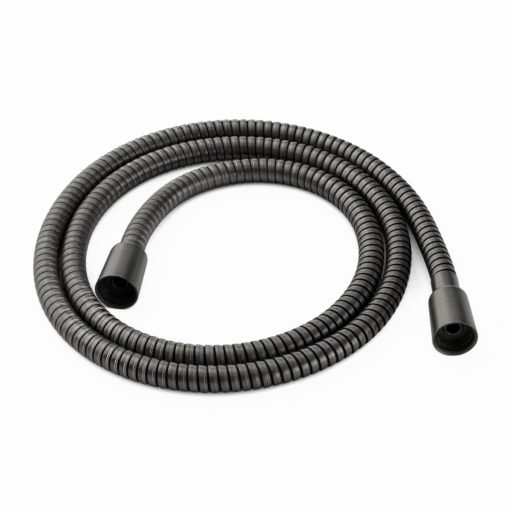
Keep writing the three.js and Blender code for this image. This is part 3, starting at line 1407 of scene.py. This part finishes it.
def look_back(looker: bpy.types.Object, way: Vector, distance: float, middle: Vector) -> None:
    """Puts a lamp or camera at a distance from a point, and aims it at the point.

    Args:
        looker: the lamp or camera.
        way: the direction from the point to it.
        distance: how far it is from the point.
        middle: the point.
    """
    looker.location = middle + way * distance
    looker.rotation_mode = "QUATERNION"
    looker.rotation_quaternion = (-way).to_track_quat("-Z", "Y")


@dataclass(frozen=True)
class SoftLamp:
    """A rectangular lamp at a distance from the object, given by its direction."""

    name: str
    azimuth: float
    elevation: float
    distance: float
    width: float
    height: float
    radiance: float

    def build(self) -> bpy.types.Object:
        """Makes the lamp, aimed at the object.

        Returns:
            The lamp's object.
        """
        light = bpy.data.lights.new(self.name, "AREA")
        light.shape = "RECTANGLE"
        light.size, light.size_y = self.width, self.height
        light.energy = self.radiance * math.pi * self.width * self.height
        lamp = add_object(self.name, light)
        a, e = math.radians(self.azimuth), math.radians(self.elevation)
        way = Vector((math.sin(a) * math.cos(e), math.cos(a) * math.cos(e), math.sin(e)))
        look_back(lamp, way, self.distance, Vector())
        return lamp


@dataclass
class Studio:
    """White floor that turns up into a low backdrop all round, soft lamps, a dim room and the camera.

    The shades are limits of how open the floor is to the room within shade_reach: for its matt colour,
    which is painted darker next to the object as a painted contact shadow, for its plain white where the
    camera sees it, and for its plain white in mirror images.
    """

    floor_radii: tuple[float, ...] = (0.0005, 0.3, 0.8, 1.6, 3.0)
    floor_radius: float = 4.5
    turn_up_radius: float = 0.3
    turn_up_angle: float = 75.0
    turn_up_steps: int = 8
    backdrop_height: float = 0.85
    backdrop_lean: float = 0.2
    around: int = 96
    floor_colour: Colour = (0.55, 0.55, 0.55, 1)
    painted_contact_shade_colour: Colour = (0.15, 0.15, 0.15, 1)
    floor_roughness: float = 0.9
    floor_glow: float = 0.95
    shade_reach: float = 0.02
    shade_samples: int = 8
    matt_shade: tuple[float, float] = (0.1, 0.6)
    seen_shade: tuple[float, float] = (0.17, 0.34)
    mirrored_shade: tuple[float, float] = (0.6, 1.0)
    room_level: float = 0.16
    focal_pixels: float = 1714.8
    picture_size: int = 512
    sensor_width: float = 36.0
    camera_distance: float = 0.9269
    camera_elevation: float = 40.0
    camera_reach: tuple[float, float] = (0.05, 20.0)
    target: tuple[float, float, float] = (0.00356, -0.00983, 0.007)

    def floor_outline(self) -> list[tuple[float, float]]:
        """Radius and height of the floor's rings.

        Returns:
            The rings from the middle to the backdrop's top.
        """
        outline = [(radius, 0.0) for radius in (*self.floor_radii, self.floor_radius)]
        bend = self.turn_up_radius
        for step in range(1, self.turn_up_steps + 1):
            angle = math.radians(self.turn_up_angle) * step / self.turn_up_steps
            outline.append((self.floor_radius + bend * math.sin(angle), bend * (1 - math.cos(angle))))
        outline.append((outline[-1][0] + self.backdrop_lean, self.backdrop_height))
        return outline

    def floor(self) -> bpy.types.Object:
        """Makes the floor and backdrop as one sheet.

        Returns:
            The floor's object.
        """
        outline = self.floor_outline()
        points, faces = [], []
        for radius, height in outline:
            for side in range(self.around):
                angle = FULL_TURN * side / self.around
                points.append((radius * math.cos(angle), radius * math.sin(angle), height))
        for row in range(len(outline) - 1):
            for side in range(self.around):
                after = (side + 1) % self.around
                near, far = row * self.around, (row + 1) * self.around
                faces.append((near + side, far + side, far + after, near + after))
        faces.append(tuple(range(self.around)))
        mesh = bpy.data.meshes.new("studio_floor")
        mesh.from_pydata(points, [], faces)
        mesh.shade_smooth()
        piece = add_object("studio_floor", mesh)
        mesh.materials.append(self.floor_material())
        return piece

    def floor_material(self) -> bpy.types.Material:
        """Makes the floor's finish: matt white, and nearly all plain white where it is seen or mirrored.

        The plain white gives way next to the object, so that the floor keeps the object's shade, and there
        the matt colour is painted darker, a painted contact shadow that mirror images show over a wider
        reach.

        Returns:
            The material.
        """
        material, board = new_material("matt_white_floor")
        reach = {"Distance": self.shade_reach}
        openness = board.add("ShaderNodeAmbientOcclusion", reach, samples=self.shade_samples).outputs["AO"]
        # The matt colour is painted darker where the floor is closed in next to the object: a painted
        # contact shadow.
        colour = board.blend_colours(
            board.ramp(openness, self.matt_shade), self.painted_contact_shade_colour, self.floor_colour
        )
        matt = board.add(
            "ShaderNodeBsdfPrincipled",
            {"Base Color": colour, "Roughness": self.floor_roughness, "Specular IOR Level": 0.0},
        )
        white = board.add("ShaderNodeEmission", {"Color": WHITE, "Strength": 1.0})
        rays = board.add("ShaderNodeLightPath").outputs
        seen = board.ramp(openness, self.seen_shade, (0, self.floor_glow))
        mirrored = board.ramp(openness, self.mirrored_shade, (0, self.floor_glow))
        bounced = board.value("MAXIMUM", rays["Is Glossy Ray"], rays["Is Transmission Ray"])
        share = board.value(
            "MAXIMUM",
            board.value("MULTIPLY", rays["Is Camera Ray"], seen),
            board.value("MULTIPLY", bounced, mirrored),
        )
        both = board.add("ShaderNodeMixShader", {0: share, 1: matt.outputs[0], 2: white.outputs[0]})
        board.add("ShaderNodeOutputMaterial", {"Surface": both.outputs[0]})
        return material

    def room(self) -> None:
        """Makes the dim room round the backdrop."""
        world = bpy.data.worlds.new("studio_room")
        world.use_nodes = True
        bpy.context.scene.world = world
        board = NodeBoard(world.node_tree)
        shade = board.add("ShaderNodeBackground", {"Color": WHITE, "Strength": self.room_level})
        board.add("ShaderNodeOutputWorld", {"Surface": shade.outputs[0]})

    def lamps(self) -> list[bpy.types.Object]:
        """Makes the soft lamps.

        Returns:
            The lamps' objects.
        """
        plans = [
            SoftLamp("back_left_lamp", -58, 34, 1.9, 2.35, 2.4, 2.9),
            SoftLamp("back_lamp", -8, 17, 1.9, 1.15, 0.9, 2.2),
            SoftLamp("high_back_lamp", -6, 64, 2.0, 2.2, 1.5, 1.9),
            SoftLamp("overhead_lamp", 180, 77, 2.0, 2.6, 0.9, 0.7),
            SoftLamp("right_lamp", 112, 13, 1.9, 2.6, 0.9, 3.2),
        ]
        return [plan.build() for plan in plans]

    def camera(self) -> bpy.types.Object:
        """Makes the camera at the photograph's angle.

        Returns:
            The camera's object.
        """
        data = bpy.data.cameras.new("picture_camera")
        data.sensor_width = self.sensor_width
        data.lens = self.focal_pixels / self.picture_size * self.sensor_width
        data.clip_start, data.clip_end = self.camera_reach
        camera = add_object("picture_camera", data)
        elevation = math.radians(self.camera_elevation)
        back = Vector((0, -math.cos(elevation), math.sin(elevation)))
        look_back(camera, back, self.camera_distance, Vector(self.target))
        bpy.context.scene.camera = camera
        return camera

    def build(self) -> None:
        """Makes the whole studio."""
        bpy.context.scene.view_settings.view_transform = "Standard"
        self.camera()
        self.room()
        self.lamps()
        self.floor()


def report(pieces: list[bpy.types.Object]) -> None:
    """Logs each piece's name and its number of faces."""
    for piece in pieces:
        log.info("%s: %d faces", piece.name, len(piece.data.polygons))


def main() -> None:
    """Builds the studio and the hose, piece by piece."""
    Studio().build()
    materials = Materials(Effects())
    outer = EndPlace("outer_end", "outer_nut_spin", Body.OUTER_NUT, ferrule_showing=13.8, lead_out=7.7)
    inner = EndPlace("inner_end", "inner_nut_spin", Body.INNER_NUT, ferrule_showing=4.2, lead_out=17.3)
    route = HoseRoute(outer, inner)
    fittings = [EndFittings(end, materials) for end in (outer, inner)]
    outer_pieces, inner_pieces = (end.build() for end in fittings)
    nuts = [SwivelNut(end).build(materials) for end in (outer, inner)]
    start = outer.ferrule_back + JOINT_GAP
    end = route.length - inner.ferrule_back - JOINT_GAP
    casing = WoundCasing(route, start, end).build(materials)
    liner_front = fittings[0].neck_back + JOINT_GAP
    liner = Liner(route, liner_front, route.length - liner_front).build(materials)
    report([casing, liner, *nuts, *outer_pieces, *inner_pieces])


if __name__ == "__main__":
    main()
